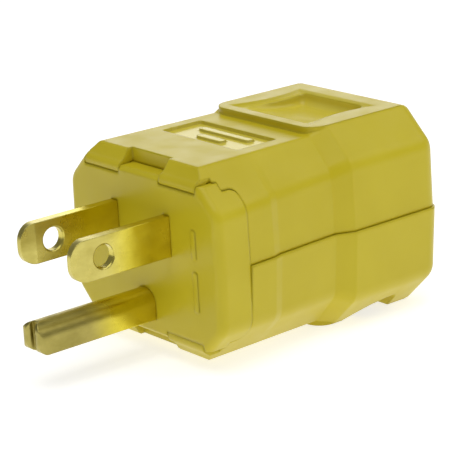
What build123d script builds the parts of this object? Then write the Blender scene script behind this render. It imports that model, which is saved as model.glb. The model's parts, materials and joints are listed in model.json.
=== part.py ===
from build123d import *
import os

# Straight-blade grounding plug with a hinged two-shell casing.
#
# Frame: the origin is in the plane of the plug face, midway between the two power blades.
# +X is to the right for someone who looks at the face, the blades point along -Y, the casing
# runs back along +Y, and the ground pin is below the power blades, towards -Z.

os.makedirs("parts", exist_ok=True)

BACK = (0, 1, 0)

# ---- contacts: the standard 15 A, 125 V blade pattern ------------------------------------
BLADE_W = 6.35
BLADE_T = 1.52
BLADE_LEN = 18.0
BLADE_X = 6.35
BLADE_HOLE_R = 1.8
BLADE_HOLE_CHAMFER = 0.2
BLADE_HOLE_Y = -12.25
BLADE_BEVEL = 2.6
BLADE_TIP_T = 0.9
BLADE_TIP_R = 2.6
TAIL_STEP = 1.0
GROUND_Z = -11.9
GROUND_R = 2.4
GROUND_WALL = 1.9
GROUND_LEN = 21.4
GROUND_NOSE_R = 1.4
GROUND_NOTCH = 1.0
GROUND_NOTCH_W = 1.4
GROUND_LEG_R = 0.7
GROUND_ROOT = 5.0
GROUND_TAIL_X = 3.2
GROUND_TAIL_T = 1.4
CONTACT_END = 13.0

# ---- casing sections: six flats a side about the casing's middle plane ---------------------
MID_Z = -3.98
PART_Z = -3.7
PART_GAP = 0.05
BODY_LEN = 46.2
CORNER_R = 0.7
SIDE_R = 3.5

WING_FRONT = dict(waist=18.4, side=18.2, side_h=9.0, top=12.0, half_h=15.1)
WING_REAR = dict(waist=18.15, side=17.9, side_h=9.2, top=11.95, half_h=15.1)
NECK_FRONT = dict(waist=18.3, side=18.0, side_h=9.0, top=11.95, half_h=15.1)
NECK_REAR = dict(waist=17.7, side=17.4, side_h=9.5, top=11.75, half_h=15.1)
PANEL_FRONT = dict(waist=17.2, side=16.85, side_h=9.6, top=11.7, half_h=15.1)
PANEL_REAR = dict(waist=16.4, side=16.05, side_h=9.8, top=11.4, half_h=15.1)
GRIP_SECTION = dict(waist=17.75, side=17.4, side_h=10.9, top=12.05, half_h=16.2)
CAVITY_SECTION = dict(waist=14.5, side=14.3, side_h=7.6, top=10.3, half_h=12.55)
WING_HOLLOW = dict(waist=15.2, side=15.0, side_h=7.6, top=9.8, half_h=14.0)
LOWER_LIP = 0.4

LIP_FRONT = 1.9
WING_END = 6.1
WING_GAP = 0.07
PANEL_START = 11.2
PANEL_STEP = 1.6
RAMP_START = 24.6
RAMP_END = 27.7
TOP_Z = MID_Z + NECK_FRONT["half_h"]
GRIP_TOP_Z = MID_Z + GRIP_SECTION["half_h"]
GRIP_END = 43.6
PAD_R = 3.0
REAR_R = 2.6
REAR_WALL = 2.5

# ---- thumb scoops and label field, depths measured down from the grip's top ---------------
UPPER_SCOOP = ((26.5, 0.2), (31.8, 1.35), (40.1, 2.1))
LOWER_SCOOP = ((29.5, 0.0), (34.5, 2.0), (39.3, 2.75))
SCOOP_R = 1.2
SCOOP_FLOOR_R = 0.9
SCOOP_RIM_X = 1.4
SCOOP_RIM_DEPTH = 0.45
SCOOP_RIM_TAPER = 72
SCOOP_FRONT_X = 8.7
SCOOP_WAIST_X = 6.7
SCOOP_REAR_X = 7.7
SCOOP_FRONT_Y = 26.5
SCOOP_REAR_Y = 41.1
LABEL_X = 9.1
LABEL_START = 12.1
LABEL_END = 19.9
LABEL_DEPTH = 0.5
LABEL_BAR_H = 0.35
LABEL_BAR_W = 1.5
LABEL_BARS = ((0.0, 17.6, 12.0), (0.0, 14.6, 6.0))

# ---- face body ---------------------------------------------------------------------------
FACE_T = 3.4
FACE_TOP_Z = 7.75
FACE_EDGE_R = 1.4
FACE_MARK_X = 12.6
FACE_MARK_W = 1.1
FACE_MARK_H = 0.15
FACE_MARKS = ((-0.2, 4.6), (-7.6, 6.4))
LEDGE_END = 3.6
WING_TOP_Z = 8.83
WING_STEP_Z = 7.7
WING_R = 1.2
NOTCH_X = 4.9
NOTCH_REAR = 3.0
LIP_END_X = 13.4
LIP_UNDER_Z = 8.93
CORE_X = BLADE_X - BLADE_T / 2
CORE_TOP_Z = 6.0
CORE_BOTTOM_Z = -8.6

# ---- hinge beads on the shell lips -------------------------------------------------------
BEAD_R = 1.25
BEAD_Y = 1.3
BEAD_Z = 8.25
GROOVE_R = BEAD_R + 0.1

# ---- terminals ---------------------------------------------------------------------------
TERMINAL_Y = 9.0
TERMINAL_R = 1.9
TERMINAL_TRAVEL = 2.4
TERMINAL_GAP = 0.05
TERMINAL_CLEAR_X = 0.9
TERMINAL_HEAD_R = 3.0
TERMINAL_HEAD_H = 1.9
TERMINAL_SHANK = 7.0
GROUND_SHANK = 5.4
GROUND_HOLE_DEPTH = 3.2
CLAMP_SIZE = 7.0
CLAMP_T = 1.0
RUN_GAP = 0.08
SLOT_W = 1.0
SLOT_DEPTH = 0.9
RETAINER_X = 7.1
RETAINER_T = 2.2
RETAINER_SCREW_Z = 3.6
RETAINER_SCREW_R = 1.2
RETAINER_SHANK = 7.5
RETAINER_HEAD_R = 2.1
RETAINER_HEAD_H = 1.2

# ---- casing screws -----------------------------------------------------------------------
CASE_SCREW_X = 11.0
CASE_SCREW_Y = 35.0
CASE_SCREW_R = 1.75
CASE_TRAVEL = 5.0
CASE_SEAT_Z = -9.0
CASE_HEAD_R = 2.7
CASE_HEAD_H = 2.0
CASE_WASHER_T = 0.6
CASE_SHANK = 10.2
CASE_BORE_R = 3.15
BOSS_R = 3.9
NUT_R = 2.8
NUT_DEPTH = 6.0

# ---- cord entry --------------------------------------------------------------------------
CORD_R = 7.5
JAW_R = 6.0
JAW_Y = 39.3
JAW_T = 2.6
JAW_GAP = 0.3


def casing_outline(y, waist, side, side_h, top, half_h):
    """The casing's outline at distance y behind the face, as a face in the XZ plane."""
    with BuildSketch(Plane.XZ.offset(-y)) as outline:
        with BuildLine():
            Polyline(
                (waist, MID_Z),
                (side, MID_Z + side_h),
                (top, MID_Z + half_h),
                (-top, MID_Z + half_h),
                (-side, MID_Z + side_h),
                (-waist, MID_Z),
                (-side, MID_Z - side_h),
                (-top, MID_Z - half_h),
                (top, MID_Z - half_h),
                (side, MID_Z - side_h),
                close=True,
            )
        make_face()
        corners = outline.vertices().group_by(Axis.Y)
        fillet(corners[0] + corners[-1], radius=CORNER_R)
        sides = outline.vertices().filter_by(lambda v: abs(abs(v.X) - side) < 0.01)
        fillet(sides, radius=SIDE_R)
    return outline.sketch


def wider(base, amount):
    """The same section, wider at the middle plane by the amount."""
    return dict(base, waist=base["waist"] + amount)


def straight_block(y, length, profile):
    """A straight length of casing section, used to cut with or to keep."""
    with BuildPart() as block:
        add(casing_outline(y, **profile))
        extrude(amount=length, dir=BACK)
    return block.part


def tapered_block(start, front, end, rear):
    """Casing between a front section and a rear section."""
    with BuildPart() as block:
        add(casing_outline(start, **front))
        add(casing_outline(end, **rear))
        loft()
    return block.part


# ---- forms that the casing pieces are cut from --------------------------------------------
def casing_form(lip):
    """The closed casing as one solid: neck, side panels, ramps, grip and raised grip pad."""
    panel_front = PANEL_START + PANEL_STEP
    neck_rear = wider(NECK_REAR, lip)
    panel_front_section = wider(PANEL_FRONT, lip)
    panel_rear_section = wider(PANEL_REAR, lip)
    grip = wider(GRIP_SECTION, lip)
    with BuildPart() as form:
        add(tapered_block(LIP_FRONT, wider(NECK_FRONT, lip), PANEL_START, neck_rear))
        add(tapered_block(PANEL_START, neck_rear, panel_front, panel_front_section))
        add(tapered_block(panel_front, panel_front_section, RAMP_START, panel_rear_section))
        add(tapered_block(RAMP_START, panel_rear_section, RAMP_END, grip))
        add(straight_block(RAMP_END, BODY_LEN - RAMP_END, grip))
        rear = form.faces().sort_by(Axis.Y)[-1]
        fillet(rear.edges(), radius=REAR_R)
        with BuildSketch(Plane.XY.offset(TOP_Z - 1)) as pad:
            with Locations((0, (RAMP_START + GRIP_END) / 2)):
                Rectangle(2 * GRIP_SECTION["top"], GRIP_END - RAMP_START)
            fillet(pad.vertices().group_by(Axis.Y)[0], radius=PAD_R)
        extrude(amount=GRIP_TOP_Z - TOP_Z + 1)
    return form.part


def wing_view(gap):
    """Side view of the face body's wings, grown by the gap that the shells keep from them."""
    with BuildSketch(Plane.YZ) as view:
        with BuildLine():
            Polyline(
                (-2, MID_Z - 30),
                (-2, WING_TOP_Z + gap),
                (LEDGE_END + gap, WING_TOP_Z + gap),
                (LEDGE_END + gap, WING_STEP_Z + gap),
                (WING_END + gap, WING_STEP_Z + gap),
                (WING_END + gap, MID_Z - 30),
                close=True,
            )
        make_face()
        shoulder = view.vertices().filter_by(
            lambda v: v.X > WING_END - 0.01 and v.Y > MID_Z
        )
        fillet(shoulder, radius=WING_R)
    return view.sketch


def shell_lip():
    """The two rolled hinge beads and the coves that join them to a shell's front edge."""
    cove_foot = (BEAD_Y - 0.45, BEAD_Z + 1.1)
    cove_top = (LIP_FRONT, TOP_Z - 0.35)
    with BuildPart() as lip:
        with BuildSketch(Plane.YZ.offset(NOTCH_X)):
            with BuildLine():
                ThreePointArc(cove_foot, (BEAD_Y + 0.15, BEAD_Z + 1.75), cove_top)
                Polyline(
                    cove_top,
                    (LIP_FRONT + 0.35, TOP_Z),
                    (LEDGE_END, TOP_Z),
                    (LEDGE_END, LIP_UNDER_Z),
                    (BEAD_Y + 0.8, LIP_UNDER_Z),
                    (BEAD_Y - 0.45, BEAD_Z + 0.3),
                    cove_foot,
                )
            make_face()
            with Locations((BEAD_Y, BEAD_Z)):
                Circle(BEAD_R)
        extrude(amount=LIP_END_X - NOTCH_X)
        add(straight_block(-1, LEDGE_END + 1, NECK_FRONT), mode=Mode.INTERSECT)
        mirror(about=Plane.YZ)
    return lip.part


def grip_scoop(start, middle, end):
    """A scoop across the grip: a floor that deepens to the rear, then an upright wall."""
    with BuildPart() as scoop:
        with BuildSketch(Plane.YZ) as profile:
            with BuildLine():
                ThreePointArc(
                    (start[0], GRIP_TOP_Z - start[1]),
                    (middle[0], GRIP_TOP_Z - middle[1]),
                    (end[0], GRIP_TOP_Z - end[1]),
                )
                Polyline(
                    (end[0], GRIP_TOP_Z - end[1]),
                    (end[0] + 0.35, GRIP_TOP_Z + 2),
                    (start[0] - 0.35, GRIP_TOP_Z + 2),
                    (start[0], GRIP_TOP_Z - start[1]),
                )
            make_face()
            foot = profile.vertices().sort_by(Axis.X)[-2:].sort_by(Axis.Y)[0]
            fillet(foot, radius=SCOOP_R)
        extrude(amount=25, both=True)
    return scoop.part


def shell_base(lip, parting):
    """One shell in the upper position: skin, cavity, front lips and screw bosses."""
    with BuildPart() as shell:
        add(casing_form(lip))
        split(bisect_by=Plane.XY.offset(parting + PART_GAP), keep=Keep.TOP)
        add(
            straight_block(-2, BODY_LEN - REAR_WALL + 2, CAVITY_SECTION),
            mode=Mode.SUBTRACT,
        )
        add(wing_view(WING_GAP))
        extrude(amount=25, dir=(1, 0, 0), both=True, mode=Mode.SUBTRACT)
        with BuildSketch(Plane.XY.offset(TOP_Z + 1)):
            Rectangle(50, 2 * NOTCH_REAR)
        extrude(amount=-8, mode=Mode.SUBTRACT)
        add(shell_lip())
        with BuildSketch(Plane.XY.offset(parting + PART_GAP)):
            with Locations((-CASE_SCREW_X, CASE_SCREW_Y), (CASE_SCREW_X, CASE_SCREW_Y)):
                Circle(BOSS_R)
        extrude(amount=CAVITY_SECTION["half_h"] - PART_GAP)
        with BuildSketch(Plane.XZ.offset(-BODY_LEN - 1)):
            with Locations((0, MID_Z)):
                Circle(CORD_R)
        extrude(amount=REAR_WALL + 2, mode=Mode.SUBTRACT)
    return shell.part


# ---- upper shell: thumb scoop, label field, pockets for the threaded inserts --------------
def scoop_plan(height, spread):
    """The upper scoop seen from above, with waisted sides, spread outwards by an amount."""
    front_x = SCOOP_FRONT_X + spread
    waist_x = SCOOP_WAIST_X + spread
    rear_x = SCOOP_REAR_X + spread
    waist_y = (SCOOP_FRONT_Y + SCOOP_REAR_Y) / 2
    with BuildSketch(Plane.XY.offset(height)) as plan:
        with BuildLine():
            Line((-front_x, SCOOP_FRONT_Y), (front_x, SCOOP_FRONT_Y))
            ThreePointArc((front_x, SCOOP_FRONT_Y), (waist_x, waist_y), (rear_x, SCOOP_REAR_Y))
            Line((rear_x, SCOOP_REAR_Y), (-rear_x, SCOOP_REAR_Y))
            ThreePointArc(
                (-rear_x, SCOOP_REAR_Y), (-waist_x, waist_y), (-front_x, SCOOP_FRONT_Y)
            )
        make_face()
    return plan.sketch


with BuildPart() as rim_slope:
    add(scoop_plan(GRIP_TOP_Z, SCOOP_RIM_X))
    extrude(amount=-SCOOP_RIM_DEPTH, taper=SCOOP_RIM_TAPER)

with BuildPart() as thumb_scoop:
    add(scoop_plan(TOP_Z - 3, 0))
    extrude(amount=8)
    add(grip_scoop(*UPPER_SCOOP), mode=Mode.INTERSECT)
    floor_sides = thumb_scoop.edges().filter_by(
        lambda e: abs(e.center().X) > SCOOP_WAIST_X - 1
        and e.length > 4
        and TOP_Z - 2.9 < e.center().Z < GRIP_TOP_Z - 0.3
    )
    fillet(floor_sides, radius=SCOOP_FLOOR_R)

with BuildPart() as upper_shell:
    add(shell_base(0.0, PART_Z))
    add(thumb_scoop.part, mode=Mode.SUBTRACT)
    add(rim_slope.part, mode=Mode.SUBTRACT)
    with BuildSketch(Plane.XY.offset(TOP_Z)) as label_field:
        with Locations((0, (LABEL_START + LABEL_END) / 2)):
            Rectangle(2 * LABEL_X, LABEL_END - LABEL_START)
        fillet(label_field.vertices(), radius=0.5)
    extrude(amount=-LABEL_DEPTH, mode=Mode.SUBTRACT)
    with BuildSketch(Plane.XY.offset(TOP_Z - LABEL_DEPTH)):
        for bar_x, bar_y, bar_length in LABEL_BARS:
            with Locations((bar_x, bar_y)):
                RectangleRounded(bar_length, LABEL_BAR_W, radius=0.5)
    extrude(amount=LABEL_BAR_H)
    with BuildSketch(Plane.XY.offset(PART_Z + PART_GAP)):
        with Locations((-CASE_SCREW_X, CASE_SCREW_Y), (CASE_SCREW_X, CASE_SCREW_Y)):
            Circle(NUT_R)
    extrude(amount=NUT_DEPTH, mode=Mode.SUBTRACT)
upper_shell.part.label = "upper_shell"
export_step(upper_shell.part, "parts/upper_shell.step")

# ---- lower shell: modelled in the upper position and mirrored down ------------------------
case_screw_places = Locations((-CASE_SCREW_X, CASE_SCREW_Y), (CASE_SCREW_X, CASE_SCREW_Y))
case_seat_rise = MID_Z - CASE_SEAT_Z

with BuildPart() as lower_form:
    add(shell_base(LOWER_LIP, 2 * MID_Z - PART_Z))
    add(grip_scoop(*LOWER_SCOOP), mode=Mode.SUBTRACT)
    with BuildSketch(Plane.XY.offset(MID_Z - 1)):
        with case_screw_places:
            Circle(CASE_SCREW_R + RUN_GAP)
    extrude(amount=case_seat_rise + 2, mode=Mode.SUBTRACT)
    with BuildSketch(Plane.XY.offset(MID_Z + case_seat_rise)):
        with case_screw_places:
            Circle(CASE_BORE_R)
    extrude(amount=20, mode=Mode.SUBTRACT)

with BuildPart() as lower_shell:
    add(lower_form.part.mirror(Plane.XY.offset(MID_Z)))
lower_shell.part.label = "lower_shell"
export_step(lower_shell.part, "parts/lower_shell.step")


# ---- casing screws, their washers and the threaded inserts, left and right ----------------
def case_washer(x):
    top = CASE_SEAT_Z - CASE_TRAVEL
    with BuildPart() as washer:
        with BuildSketch(Plane.XY.offset(top)):
            with Locations((x, CASE_SCREW_Y)):
                Circle(CASE_HEAD_R + 0.15)
                Circle(CASE_SCREW_R + RUN_GAP, mode=Mode.SUBTRACT)
        extrude(amount=-CASE_WASHER_T)
    return washer.part


def case_screw(x):
    """A pan-head screw with a slot, backed out by its whole travel."""
    head_top = CASE_SEAT_Z - CASE_TRAVEL - CASE_WASHER_T - 0.02
    with BuildPart() as screw:
        with BuildSketch(Plane.XY.offset(head_top)):
            with Locations((x, CASE_SCREW_Y)):
                Circle(CASE_HEAD_R)
        extrude(amount=-CASE_HEAD_H)
        rim = screw.edges().sort_by(Axis.Z)[0]
        fillet(rim, radius=0.5)
        with BuildSketch(Plane.XY.offset(head_top - CASE_HEAD_H)):
            with Locations((x, CASE_SCREW_Y)):
                Rectangle(SLOT_W, 3 * CASE_HEAD_R)
        extrude(amount=SLOT_DEPTH, mode=Mode.SUBTRACT)
        with BuildSketch(Plane.XY.offset(head_top)):
            with Locations((x, CASE_SCREW_Y)):
                Circle(CASE_SCREW_R)
        extrude(amount=CASE_SHANK)
        tip = screw.edges().sort_by(Axis.Z)[-1]
        chamfer(tip, length=0.5)
    return screw.part


def case_nut(x):
    with BuildPart() as nut:
        with BuildSketch(Plane.XY.offset(PART_Z + PART_GAP)):
            with Locations((x, CASE_SCREW_Y)):
                Circle(NUT_R)
                Circle(CASE_SCREW_R + RUN_GAP, mode=Mode.SUBTRACT)
        extrude(amount=NUT_DEPTH)
    return nut.part


for side_name, side_x in (("left", -CASE_SCREW_X), ("right", CASE_SCREW_X)):
    for piece_name, make_piece in (
        ("case_washer", case_washer),
        ("case_screw", case_screw),
        ("case_nut", case_nut),
    ):
        piece = make_piece(side_x)
        piece.label = piece_name + "_" + side_name
        export_step(piece, "parts/" + piece.label + ".step")

# ---- cord jaws: one in each shell, curved to hold the cable jacket ------------------------
with BuildPart() as upper_cord_jaw:
    add(straight_block(JAW_Y, JAW_T, CAVITY_SECTION))
    split(bisect_by=Plane.XY.offset(MID_Z + JAW_GAP), keep=Keep.TOP)
    with BuildSketch(Plane.XZ.offset(-JAW_Y)):
        with Locations((0, MID_Z)):
            Circle(JAW_R)
    extrude(amount=-JAW_T, mode=Mode.SUBTRACT)
upper_cord_jaw.part.label = "upper_cord_jaw"
export_step(upper_cord_jaw.part, "parts/upper_cord_jaw.step")

with BuildPart() as lower_cord_jaw:
    add(upper_cord_jaw.part.mirror(Plane.XY.offset(MID_Z)))
lower_cord_jaw.part.label = "lower_cord_jaw"
export_step(lower_cord_jaw.part, "parts/lower_cord_jaw.step")


# ---- contacts -----------------------------------------------------------------------------
def power_blade(x):
    """A flat blade with a bevelled, rounded tip, a hole, and a wider tail behind the face."""
    half_t = BLADE_T / 2
    half_w = BLADE_W / 2
    with BuildPart() as blade:
        with BuildSketch(Plane.YZ.offset(x - half_t)) as side_view:
            with Locations(((CONTACT_END - BLADE_LEN) / 2, 0)):
                Rectangle(CONTACT_END + BLADE_LEN, BLADE_W)
            fillet(side_view.vertices().group_by(Axis.X)[0], radius=BLADE_TIP_R)
            with Locations(((CONTACT_END + FACE_T) / 2, 0)):
                Rectangle(CONTACT_END - FACE_T, BLADE_W + 2 * TAIL_STEP)
        extrude(amount=BLADE_T)
        with BuildSketch(Plane.XY.offset(-2 * half_w)):
            with BuildLine():
                Polyline(
                    (x - half_t, CONTACT_END),
                    (x - half_t, BLADE_BEVEL - BLADE_LEN),
                    (x - BLADE_TIP_T / 2, -BLADE_LEN),
                    (x + BLADE_TIP_T / 2, -BLADE_LEN),
                    (x + half_t, BLADE_BEVEL - BLADE_LEN),
                    (x + half_t, CONTACT_END),
                    close=True,
                )
            make_face()
        extrude(amount=4 * half_w, mode=Mode.INTERSECT)
        with BuildSketch(Plane.YZ.offset(x)):
            with Locations((BLADE_HOLE_Y, 0)):
                Circle(BLADE_HOLE_R)
            with Locations((TERMINAL_Y, 0)):
                Circle(TERMINAL_R + RUN_GAP)
        extrude(amount=BLADE_T, both=True, mode=Mode.SUBTRACT)
        hole_rims = blade.edges().filter_by(GeomType.CIRCLE).filter_by(
            lambda e: abs(e.radius - BLADE_HOLE_R) < 0.01
        )
        chamfer(hole_rims, length=BLADE_HOLE_CHAMFER)
    return blade.part


for blade_name, blade_x in (("line_blade", -BLADE_X), ("neutral_blade", BLADE_X)):
    blade_piece = power_blade(blade_x)
    blade_piece.label = blade_name
    export_step(blade_piece, "parts/" + blade_name + ".step")


def ground_outline(forward, gap):
    """The ground pin's section: a folded strip, arched above and open below."""
    outer = GROUND_R + gap
    inner = GROUND_R - GROUND_WALL - gap
    with BuildSketch(Plane.XZ.offset(forward)) as outline:
        with Locations((0, GROUND_Z)):
            Circle(outer)
        with Locations((0, GROUND_Z - outer / 2)):
            Rectangle(2 * outer, outer)
        with Locations((0, GROUND_Z)):
            Circle(inner, mode=Mode.SUBTRACT)
        with Locations((0, GROUND_Z - outer)):
            Rectangle(2 * inner, 2 * outer, mode=Mode.SUBTRACT)
    return outline.sketch


with BuildPart() as ground_pin:
    add(ground_outline(GROUND_LEN, 0))
    extrude(amount=GROUND_LEN + GROUND_ROOT, dir=BACK)
    with BuildSketch(Plane.YZ) as pin_side:
        with Locations((0, GROUND_Z)):
            Rectangle(2 * GROUND_LEN, 2 * GROUND_R)
        fillet(pin_side.vertices().group_by(Axis.X)[0], radius=GROUND_NOSE_R)
    extrude(amount=GROUND_R, both=True, mode=Mode.INTERSECT)
    with BuildSketch(Plane.XY.offset(GROUND_Z - 3)) as pin_plan:
        Rectangle(2 * GROUND_R, 2 * GROUND_LEN)
        with Locations((0, -GROUND_LEN)):
            Rectangle(GROUND_NOTCH_W, 2 * GROUND_NOTCH, mode=Mode.SUBTRACT)
        fillet(pin_plan.vertices().group_by(Axis.Y)[0], radius=GROUND_LEG_R)
    extrude(amount=6, mode=Mode.INTERSECT)
    with BuildSketch(Plane.XY.offset(CORE_BOTTOM_Z)):
        with Locations((0, (FACE_T + CONTACT_END) / 2)):
            Rectangle(2 * GROUND_TAIL_X, CONTACT_END - FACE_T)
        with Locations((0, TERMINAL_Y)):
            Circle(TERMINAL_R + RUN_GAP, mode=Mode.SUBTRACT)
    extrude(amount=-GROUND_TAIL_T)
ground_pin.part.label = "ground_pin"
export_step(ground_pin.part, "parts/ground_pin.step")


# ---- wire clamps and terminal screws, drawn backed out, ready for a wire ------------------
def clamp_plate(plane):
    """A square clamp plate that lies on the plane, with a hole for its screw."""
    with BuildPart() as plate:
        with BuildSketch(plane):
            RectangleRounded(CLAMP_SIZE, CLAMP_SIZE, radius=0.8)
            Circle(TERMINAL_R + RUN_GAP, mode=Mode.SUBTRACT)
        extrude(amount=CLAMP_T)
    return plate.part


def terminal_screw(plane, shank):
    """A slotted screw whose head stands on the plane and whose shank runs back from it."""
    with BuildPart() as screw:
        with BuildSketch(plane):
            Circle(TERMINAL_HEAD_R)
        extrude(amount=TERMINAL_HEAD_H)
        with BuildSketch(plane.offset(TERMINAL_HEAD_H)):
            Rectangle(SLOT_W, 3 * TERMINAL_HEAD_R)
        extrude(amount=-SLOT_DEPTH, mode=Mode.SUBTRACT)
        with BuildSketch(plane):
            Circle(TERMINAL_R)
        extrude(amount=-shank)
    return screw.part


plate_rest = BLADE_X + BLADE_T / 2 + TERMINAL_TRAVEL + TERMINAL_GAP
tail_bottom = CORE_BOTTOM_Z - GROUND_TAIL_T
right_plane = Plane(origin=(plate_rest, TERMINAL_Y, 0), x_dir=(0, 1, 0), z_dir=(1, 0, 0))
left_plane = Plane(origin=(-plate_rest, TERMINAL_Y, 0), x_dir=(0, 1, 0), z_dir=(-1, 0, 0))
down_plane = Plane(
    origin=(0, TERMINAL_Y, tail_bottom - TERMINAL_TRAVEL - TERMINAL_GAP),
    x_dir=(0, 1, 0),
    z_dir=(0, 0, -1),
)
for pole, plate_plane, shank_length in (
    ("line", left_plane, TERMINAL_SHANK),
    ("neutral", right_plane, TERMINAL_SHANK),
    ("ground", down_plane, GROUND_SHANK),
):
    plate_piece = clamp_plate(plate_plane)
    plate_piece.label = pole + "_clamp_plate"
    export_step(plate_piece, "parts/" + plate_piece.label + ".step")
    head_plane = plate_plane.offset(CLAMP_T + 0.02)
    screw_piece = terminal_screw(head_plane, shank_length)
    screw_piece.label = pole + "_terminal_screw"
    export_step(screw_piece, "parts/" + screw_piece.label + ".step")

# ---- contact retainer: a plate across the tails of the contacts, and its two screws -------
with BuildPart() as contact_retainer:
    with BuildSketch(Plane.XZ.offset(-CONTACT_END)) as retainer_face:
        with Locations((0, (CORE_TOP_Z + tail_bottom) / 2)):
            Rectangle(2 * RETAINER_X, CORE_TOP_Z - tail_bottom)
        fillet(retainer_face.vertices(), radius=1.0)
        with Locations((0, -RETAINER_SCREW_Z), (0, RETAINER_SCREW_Z)):
            Circle(RETAINER_SCREW_R + RUN_GAP, mode=Mode.SUBTRACT)
    extrude(amount=RETAINER_T, dir=BACK)
contact_retainer.part.label = "contact_retainer"
export_step(contact_retainer.part, "parts/contact_retainer.step")

for screw_name, screw_z in (("upper", RETAINER_SCREW_Z), ("lower", -RETAINER_SCREW_Z)):
    with BuildPart() as retainer_screw:
        with BuildSketch(Plane.XZ.offset(-CONTACT_END - RETAINER_T)):
            with Locations((0, screw_z)):
                Circle(RETAINER_SCREW_R)
        extrude(amount=RETAINER_SHANK)
        with BuildSketch(Plane.XZ.offset(-CONTACT_END - RETAINER_T)):
            with Locations((0, screw_z)):
                Circle(RETAINER_HEAD_R)
        extrude(amount=-RETAINER_HEAD_H)
        with BuildSketch(Plane.XZ.offset(-CONTACT_END - RETAINER_T - RETAINER_HEAD_H)):
            with Locations((0, screw_z)):
                Rectangle(3 * RETAINER_HEAD_R, 0.7)
        extrude(amount=0.6, mode=Mode.SUBTRACT)
    retainer_screw.part.label = "retainer_screw_" + screw_name
    export_step(retainer_screw.part, "parts/" + retainer_screw.part.label + ".step")

# ---- face body: face plate, side wings, hinge grooves and the core that holds the contacts -
with BuildPart() as hinge_groove:
    with BuildSketch(Plane.YZ.offset(NOTCH_X - 0.1)):
        with Locations((BEAD_Y, BEAD_Z)):
            Circle(GROOVE_R)
        with BuildLine():
            Polyline(
                (-2, FACE_TOP_Z),
                (BEAD_Y, FACE_TOP_Z),
                (BEAD_Y, BEAD_Z),
                (BEAD_Y + GROOVE_R, BEAD_Z),
                (BEAD_Y + GROOVE_R, BEAD_Z + 4),
                (-2, BEAD_Z + 4),
                close=True,
            )
        make_face()
    extrude(amount=LIP_END_X - NOTCH_X + 0.2)
    mirror(about=Plane.YZ)
    with BuildSketch(Plane.YZ):
        with BuildLine():
            Polyline(
                (-2, WING_TOP_Z - 0.6),
                (0, WING_TOP_Z - 0.6),
                (0.5, WING_TOP_Z),
                (0.5, WING_TOP_Z + 2),
                (-2, WING_TOP_Z + 2),
                close=True,
            )
        make_face()
    extrude(amount=NOTCH_X, both=True)

with BuildPart() as face_body:
    add(tapered_block(0, WING_FRONT, WING_END, WING_REAR))
    front = face_body.faces().sort_by(Axis.Y)[0]
    fillet(front.edges(), radius=FACE_EDGE_R)
    add(wing_view(0))
    extrude(amount=25, dir=(1, 0, 0), both=True, mode=Mode.INTERSECT)
    mirror(about=Plane.XY.offset(MID_Z), mode=Mode.INTERSECT)
    with BuildSketch(Plane.XZ):
        for mark_z, mark_length in FACE_MARKS:
            with Locations((FACE_MARK_X, mark_z)):
                RectangleRounded(FACE_MARK_W, mark_length, radius=0.4)
    extrude(amount=FACE_MARK_H)
    add(straight_block(FACE_T, 20, WING_HOLLOW), mode=Mode.SUBTRACT)
    add(hinge_groove.part, mode=Mode.SUBTRACT)
    add(hinge_groove.part.mirror(Plane.XY.offset(MID_Z)), mode=Mode.SUBTRACT)
    with BuildSketch(Plane.XZ.offset(-FACE_T)):
        with Locations((0, (CORE_TOP_Z + CORE_BOTTOM_Z) / 2)):
            Rectangle(2 * CORE_X, CORE_TOP_Z - CORE_BOTTOM_Z)
    extrude(amount=-(CONTACT_END - FACE_T))
    with BuildSketch(Plane.XZ.offset(1)):
        with Locations((-BLADE_X, 0), (BLADE_X, 0)):
            Rectangle(BLADE_T + 0.04, BLADE_W + 0.04)
    extrude(amount=-(FACE_T + 1), mode=Mode.SUBTRACT)
    add(ground_outline(1, 0.02))
    extrude(amount=FACE_T + 1, dir=BACK, mode=Mode.SUBTRACT)
    with BuildSketch(Plane.YZ.offset(TERMINAL_CLEAR_X)):
        with Locations((TERMINAL_Y, 0)):
            Circle(TERMINAL_R + RUN_GAP)
    extrude(amount=CORE_X, mode=Mode.SUBTRACT)
    with BuildSketch(Plane.YZ.offset(-TERMINAL_CLEAR_X)):
        with Locations((TERMINAL_Y, 0)):
            Circle(TERMINAL_R + RUN_GAP)
    extrude(amount=-CORE_X, mode=Mode.SUBTRACT)
    with BuildSketch(Plane.XY.offset(CORE_BOTTOM_Z)):
        with Locations((0, TERMINAL_Y)):
            Circle(TERMINAL_R + RUN_GAP)
    extrude(amount=GROUND_HOLE_DEPTH, mode=Mode.SUBTRACT)
    with BuildSketch(Plane.XZ.offset(-CONTACT_END)):
        with Locations((0, -RETAINER_SCREW_Z), (0, RETAINER_SCREW_Z)):
            Circle(RETAINER_SCREW_R + 0.03)
    extrude(amount=RETAINER_SHANK + 0.3, mode=Mode.SUBTRACT)
face_body.part.label = "face_body"
export_step(face_body.part, "parts/face_body.step")
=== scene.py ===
import json
import math

import bpy
from mathutils import Matrix, Vector


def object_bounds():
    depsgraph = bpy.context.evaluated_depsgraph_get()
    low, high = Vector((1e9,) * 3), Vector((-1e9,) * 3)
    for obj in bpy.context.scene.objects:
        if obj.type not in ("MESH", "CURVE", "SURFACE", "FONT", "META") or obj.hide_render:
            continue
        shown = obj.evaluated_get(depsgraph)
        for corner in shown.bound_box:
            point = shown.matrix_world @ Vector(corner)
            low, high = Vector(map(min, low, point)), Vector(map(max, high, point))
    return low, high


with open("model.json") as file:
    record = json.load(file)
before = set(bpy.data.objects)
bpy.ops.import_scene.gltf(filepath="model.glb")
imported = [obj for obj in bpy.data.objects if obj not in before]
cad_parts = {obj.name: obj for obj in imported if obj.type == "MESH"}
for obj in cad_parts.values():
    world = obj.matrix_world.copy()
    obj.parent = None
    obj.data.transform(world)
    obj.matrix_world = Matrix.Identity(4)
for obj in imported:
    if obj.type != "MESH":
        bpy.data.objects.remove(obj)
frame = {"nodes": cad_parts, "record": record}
cad_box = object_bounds()


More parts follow.
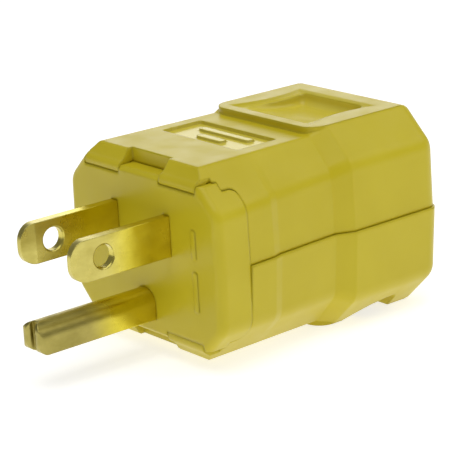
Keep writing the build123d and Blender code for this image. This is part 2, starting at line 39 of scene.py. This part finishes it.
# ---- shader helpers -------------------------------------------------------------------------
FADE = 0.0002
BEVEL_SAMPLES = 8


class Finish:
    """A material under construction: its nodes, its links and its Principled shader."""

    def __init__(self, name, metallic=0.0):
        self.material = bpy.data.materials.new(name)
        self.material.use_nodes = True
        self.nodes = self.material.node_tree.nodes
        self.links = self.material.node_tree.links
        self.shader = self.nodes["Principled BSDF"]
        self.shader.inputs["Metallic"].default_value = metallic
        self.coords = self.nodes.new("ShaderNodeTexCoord").outputs["Object"]

    def constant(self, socket, value):
        self.shader.inputs[socket].default_value = value

    def set(self, socket, source):
        self.links.new(source, self.shader.inputs[socket])

    def stretched(self, scale):
        """Object coordinates scaled by (x, y, z), so that a pattern runs along one axis."""
        node = self.nodes.new("ShaderNodeMapping")
        node.inputs["Scale"].default_value = scale
        self.links.new(self.coords, node.inputs["Vector"])
        return node.outputs["Vector"]

    def noise(self, scale, detail, rough=0.5, coords=None):
        node = self.nodes.new("ShaderNodeTexNoise")
        node.inputs["Scale"].default_value = scale
        node.inputs["Detail"].default_value = detail
        node.inputs["Roughness"].default_value = rough
        self.links.new(coords or self.coords, node.inputs["Vector"])
        return node.outputs["Fac"]

    def shades(self, factor, dark, light, light_from=0.7):
        """The dark colour where the noise is low, the light one where it is high."""
        node = self.nodes.new("ShaderNodeValToRGB")
        low, high = node.color_ramp.elements
        low.position = 0.3
        low.color = (*dark, 1.0)
        high.position = light_from
        high.color = (*light, 1.0)
        self.links.new(factor, node.inputs["Fac"])
        return node.outputs["Color"]

    def spread(self, factor, low, high):
        """Map the middle of a noise to the range low to high."""
        node = self.nodes.new("ShaderNodeMapRange")
        node.inputs["From Min"].default_value = 0.3
        node.inputs["From Max"].default_value = 0.7
        node.inputs["To Min"].default_value = low
        node.inputs["To Max"].default_value = high
        self.links.new(factor, node.inputs["Value"])
        return node.outputs["Result"]

    def along(self, axis, start, end):
        """0 where the object coordinate is at start, 1 at end, smooth between."""
        split = self.nodes.new("ShaderNodeSeparateXYZ")
        self.links.new(self.coords, split.inputs["Vector"])
        node = self.nodes.new("ShaderNodeMapRange")
        node.interpolation_type = "SMOOTHSTEP"
        node.inputs["From Min"].default_value = start
        node.inputs["From Max"].default_value = end
        self.links.new(split.outputs[axis], node.inputs["Value"])
        return node.outputs["Result"]

    def times(self, first, second):
        node = self.nodes.new("ShaderNodeMath")
        node.operation = "MULTIPLY"
        self.links.new(first, node.inputs[0])
        self.links.new(second, node.inputs[1])
        return node.outputs["Value"]

    def inside(self, limits):
        """1 inside a box of object coordinates, 0 outside; limits are (axis, low, high)."""
        result = None
        for axis, low, high in limits:
            rise = self.along(axis, low - FADE, low + FADE)
            fall = self.along(axis, high + FADE, high - FADE)
            band = self.times(rise, fall)
            result = band if result is None else self.times(result, band)
        return result

    def mix(self, factor, first, second):
        node = self.nodes.new("ShaderNodeMix")
        node.data_type = "RGBA"
        self.links.new(factor, node.inputs["Factor"])
        self.links.new(first, node.inputs["A"])
        self.links.new(second, node.inputs["B"])
        return node.outputs["Result"]

    def soft_edges(self, radius):
        """A normal that rounds every sharp edge by the radius."""
        node = self.nodes.new("ShaderNodeBevel")
        node.samples = BEVEL_SAMPLES
        node.inputs["Radius"].default_value = radius
        return node.outputs["Normal"]

    def bump(self, height, strength, distance, normal):
        node = self.nodes.new("ShaderNodeBump")
        node.inputs["Strength"].default_value = strength
        node.inputs["Distance"].default_value = distance
        self.links.new(height, node.inputs["Height"])
        self.links.new(normal, node.inputs["Normal"])
        return node.outputs["Normal"]


# ---- moulded nylon --------------------------------------------------------------------------
NYLON_SPECULAR = 0.30
NYLON_MOTTLE = 90.0
NYLON_BLOTCH = 260.0
NYLON_WAVE = 110.0
NYLON_GRAIN = 3600.0
NYLON_ROUGHNESS = (0.30, 0.42)
WAVE_STRENGTH, WAVE_HEIGHT = 0.25, 0.00012
GRAIN_STRENGTH, GRAIN_HEIGHT = 0.10, 0.00003

# the sunk field and the thumb rest on top, in metres; their floors are smoother and carry a
# painted sheen, a paler colour
LABEL_FLOOR = (("X", -0.0091, 0.0091), ("Y", 0.0121, 0.0199), ("Z", 0.0098, 0.01165))
SCOOP_FLOOR = (("X", -0.0088, 0.0088), ("Y", 0.0268, 0.0412), ("Z", 0.0095, 0.0119))
# painted sheen: the paler colours of the sunk floors stand in for their sheen; only the
# roughness below is real polish
PAINTED_SHEEN_DARK = (0.68, 0.57, 0.05)
PAINTED_SHEEN_LIGHT = (0.72, 0.61, 0.07)
POLISHED_ROUGHNESS = (0.14, 0.20)


def moulded_nylon(name, dark, light, edge_radius, smooth_and_painted_sheen=()):
    """Moulded plastic with a fine texture; inside the given boxes it is smoother and a little
    paler, the paler colour being a painted sheen.
    """
    finish = Finish(name)
    finish.constant("Specular IOR Level", NYLON_SPECULAR)
    mottle = finish.noise(NYLON_MOTTLE, 3.0)
    colour = finish.shades(mottle, dark, light)
    roughness = finish.spread(finish.noise(NYLON_BLOTCH, 2.0), *NYLON_ROUGHNESS)
    for limits in smooth_and_painted_sheen:
        smooth_painted_sheen_mask = finish.inside(limits)
        # painted sheen: a paler colour inside the box stands in for the sheen on these floors
        painted_sheen_colour = finish.shades(mottle, PAINTED_SHEEN_DARK, PAINTED_SHEEN_LIGHT)
        colour = finish.mix(smooth_painted_sheen_mask, colour, painted_sheen_colour)
        smooth = finish.spread(mottle, *POLISHED_ROUGHNESS)
        roughness = finish.mix(smooth_painted_sheen_mask, roughness, smooth)
    finish.set("Base Color", colour)
    finish.set("Roughness", roughness)
    edges = finish.soft_edges(edge_radius)
    waves = finish.bump(finish.noise(NYLON_WAVE, 2.0), WAVE_STRENGTH, WAVE_HEIGHT, edges)
    grain = finish.bump(finish.noise(NYLON_GRAIN, 2.0), GRAIN_STRENGTH, GRAIN_HEIGHT, waves)
    finish.set("Normal", grain)
    return finish.material


# ---- rolled brass ---------------------------------------------------------------------------
BRASS_STAIN = 260.0
BRASS_BLOTCH = 420.0
BRASS_DRAW = 900.0
STAIN_STRETCH = (1.0, 0.5, 1.0)
DRAW_STRETCH = (1.0, 0.12, 1.0)
DRAW_STRENGTH, DRAW_HEIGHT = 0.18, 0.00004
BRIGHT_ROUGHNESS = (0.16, 0.28)
TIP_ROUGHNESS = (0.24, 0.38)
PIN_ROUGHNESS = (0.34, 0.48)
BRASS_LIGHT_FROM = 0.65

# brass is clean behind ROOT_END and worn in front of TIP_START, in metres along Y
ROOT_END = -0.006
TIP_START = -0.013
# the ground pin lies below PIN_TOP in Z, and the blades above BLADE_BOTTOM
PIN_TOP = -0.008
BLADE_BOTTOM = PIN_TOP + 0.001
PIN_DARK = (0.33, 0.28, 0.07)
PIN_LIGHT = (0.48, 0.41, 0.12)


def rolled_brass(name, root, tip, edge_radius):
    """Brass graded from a clean root to a duller tip; root and tip are (dark, light)."""
    finish = Finish(name, 1.0)
    stain = finish.noise(BRASS_STAIN, 4.0, 0.6, finish.stretched(STAIN_STRETCH))
    clean = finish.shades(stain, *root, BRASS_LIGHT_FROM)
    dull = finish.shades(stain, *tip, BRASS_LIGHT_FROM)
    tarnish = finish.shades(stain, PIN_DARK, PIN_LIGHT, BRASS_LIGHT_FROM)
    wear = finish.along("Y", ROOT_END, TIP_START)
    pin = finish.along("Z", BLADE_BOTTOM, PIN_TOP)
    worn = finish.mix(pin, dull, tarnish)
    finish.set("Base Color", finish.mix(wear, clean, worn))
    blotch = finish.noise(BRASS_BLOTCH, 3.0)
    bright = finish.spread(blotch, *BRIGHT_ROUGHNESS)
    tip_rough = finish.spread(blotch, *TIP_ROUGHNESS)
    pin_rough = finish.spread(blotch, *PIN_ROUGHNESS)
    finish.set("Roughness", finish.mix(wear, bright, finish.mix(pin, tip_rough, pin_rough)))
    drawn = finish.noise(BRASS_DRAW, 3.0, 0.6, finish.stretched(DRAW_STRETCH))
    edges = finish.soft_edges(edge_radius)
    finish.set("Normal", finish.bump(drawn, DRAW_STRENGTH, DRAW_HEIGHT, edges))
    return finish.material


# ---- screws, plates and inserts -------------------------------------------------------------
PLATE_CLOUD = 500.0
PLATE_SCUFF = 2400.0
SCUFF_STRENGTH, SCUFF_HEIGHT = 0.12, 0.00003


def plated(name, dark, light, roughness, edge_radius):
    """Plated or turned metal with a cloudy colour and fine scuffs."""
    finish = Finish(name, 1.0)
    cloud = finish.noise(PLATE_CLOUD, 4.0, 0.6)
    finish.set("Base Color", finish.shades(cloud, dark, light))
    finish.set("Roughness", finish.spread(cloud, roughness - 0.06, roughness + 0.08))
    scuffs = finish.noise(PLATE_SCUFF, 3.0)
    edges = finish.soft_edges(edge_radius)
    finish.set("Normal", finish.bump(scuffs, SCUFF_STRENGTH, SCUFF_HEIGHT, edges))
    return finish.material


# ---- one finish for each material slot ------------------------------------------------------
SHELL_EDGE = 0.0006
CONTACT_EDGE = 0.0002
SCREW_EDGE = 0.00015

FINISHES = {
    "yellow_nylon": moulded_nylon(
        "yellow_nylon",
        (0.565, 0.460, 0.012),
        (0.605, 0.500, 0.018),
        SHELL_EDGE,
        # smoother floors that also carry a painted sheen
        (LABEL_FLOOR, SCOOP_FLOOR),
    ),
    "black_nylon": moulded_nylon(
        "black_nylon", (0.012, 0.012, 0.012), (0.022, 0.022, 0.021), CONTACT_EDGE
    ),
    "brass_contact": rolled_brass(
        "brass_contact",
        ((0.66, 0.55, 0.04), (0.84, 0.73, 0.08)),
        ((0.47, 0.40, 0.09), (0.66, 0.58, 0.17)),
        CONTACT_EDGE,
    ),
    "plated_steel": plated(
        "plated_steel", (0.50, 0.49, 0.47), (0.66, 0.65, 0.62), 0.32, SCREW_EDGE
    ),
    "brass_screw": plated(
        "brass_screw", (0.62, 0.46, 0.17), (0.78, 0.60, 0.25), 0.25, SCREW_EDGE
    ),
    "silver_screw": plated(
        "silver_screw", (0.66, 0.66, 0.65), (0.80, 0.80, 0.78), 0.22, SCREW_EDGE
    ),
    "green_screw": plated(
        "green_screw", (0.02, 0.16, 0.05), (0.04, 0.26, 0.08), 0.35, SCREW_EDGE
    ),
}
for subpart in frame["record"]["subparts"]:
    node = frame["nodes"][subpart["node"]]
    node.data.materials.clear()
    node.data.materials.append(FINISHES[subpart["material_slot"]])


# ---- stage ----------------------------------------------------------------------------------
WHITE = (1, 1, 1, 1)
FLOOR_SIZE = 6.0
FLOOR_GAP = 0.00005
FLOOR_COLOUR = (0.60, 0.60, 0.60, 1)
FLOOR_ROUGHNESS = 0.9
FLOOR_GLOW = 0.68
WORLD_LIGHT = 0.24

floor_z = cad_box[0][2] - FLOOR_GAP
bpy.ops.mesh.primitive_plane_add(size=FLOOR_SIZE, location=(0, 0, floor_z))
floor = bpy.context.object
floor.name = "floor"
floor_finish = Finish("floor")
floor_finish.constant("Roughness", FLOOR_ROUGHNESS)
floor_finish.constant("Base Color", FLOOR_COLOUR)
floor_finish.constant("Specular IOR Level", 0.0)
floor_finish.constant("Emission Color", WHITE)
floor_finish.constant("Emission Strength", FLOOR_GLOW)
floor.data.materials.append(floor_finish.material)

world = bpy.data.worlds.new("studio")
bpy.context.scene.world = world
world.use_nodes = True
background = world.node_tree.nodes["Background"]
background.inputs["Color"].default_value = WHITE
background.inputs["Strength"].default_value = WORLD_LIGHT

LIGHT_AIM = Vector((0, 0.015, 0))


def softbox(name, place, size, brightness):
    """A rectangular light aimed at the plug; brightness is the white that its face shows."""
    data = bpy.data.lights.new(name, "AREA")
    data.shape = "RECTANGLE"
    data.size, data.size_y = size
    data.energy = brightness * math.pi * size[0] * size[1]
    light = bpy.data.objects.new(name, data)
    bpy.context.scene.collection.objects.link(light)
    light.location = place
    aim = LIGHT_AIM - Vector(place)
    light.rotation_euler = aim.to_track_quat("-Z", "Y").to_euler()


softbox("top_box", (0.10, -0.12, 0.80), (0.7, 0.7), 2.3)
softbox("side_box", (0.50, 0.60, 0.70), (0.8, 0.6), 1.35)
softbox("back_card", (-0.75, 0.70, 0.30), (1.1, 0.5), 1.5)


# ---- camera ---------------------------------------------------------------------------------
MM = 0.001
CAMERA_AZIMUTH = math.radians(50.895)
CAMERA_ELEVATION = math.radians(17.349)
CAMERA_ROLL = math.radians(-3.104)
CAMERA_DISTANCE = 0.30896
CAMERA_AIM = Vector((2.843, 14.066, -2.452)) * MM
CAMERA_LENS = 159.5
CAMERA_SENSOR = 36.0
CAMERA_CLIP = 0.01

back = Vector(
    (
        math.sin(CAMERA_AZIMUTH) * math.cos(CAMERA_ELEVATION),
        -math.cos(CAMERA_AZIMUTH) * math.cos(CAMERA_ELEVATION),
        math.sin(CAMERA_ELEVATION),
    )
)
level_right = Vector((math.cos(CAMERA_AZIMUTH), math.sin(CAMERA_AZIMUTH), 0))
level_up = back.cross(level_right)
right = level_right * math.cos(CAMERA_ROLL) + level_up * math.sin(CAMERA_ROLL)
up = level_up * math.cos(CAMERA_ROLL) - level_right * math.sin(CAMERA_ROLL)
turn = Matrix((right, up, back)).transposed().to_4x4()

camera_data = bpy.data.cameras.new("camera")
camera_data.lens = CAMERA_LENS
camera_data.sensor_width = CAMERA_SENSOR
camera_data.clip_start = CAMERA_CLIP
camera = bpy.data.objects.new("camera", camera_data)
bpy.context.scene.collection.objects.link(camera)
camera.matrix_world = Matrix.Translation(CAMERA_AIM + back * CAMERA_DISTANCE) @ turn
bpy.context.scene.camera = camera
bpy.context.scene.view_settings.view_transform = "Standard"
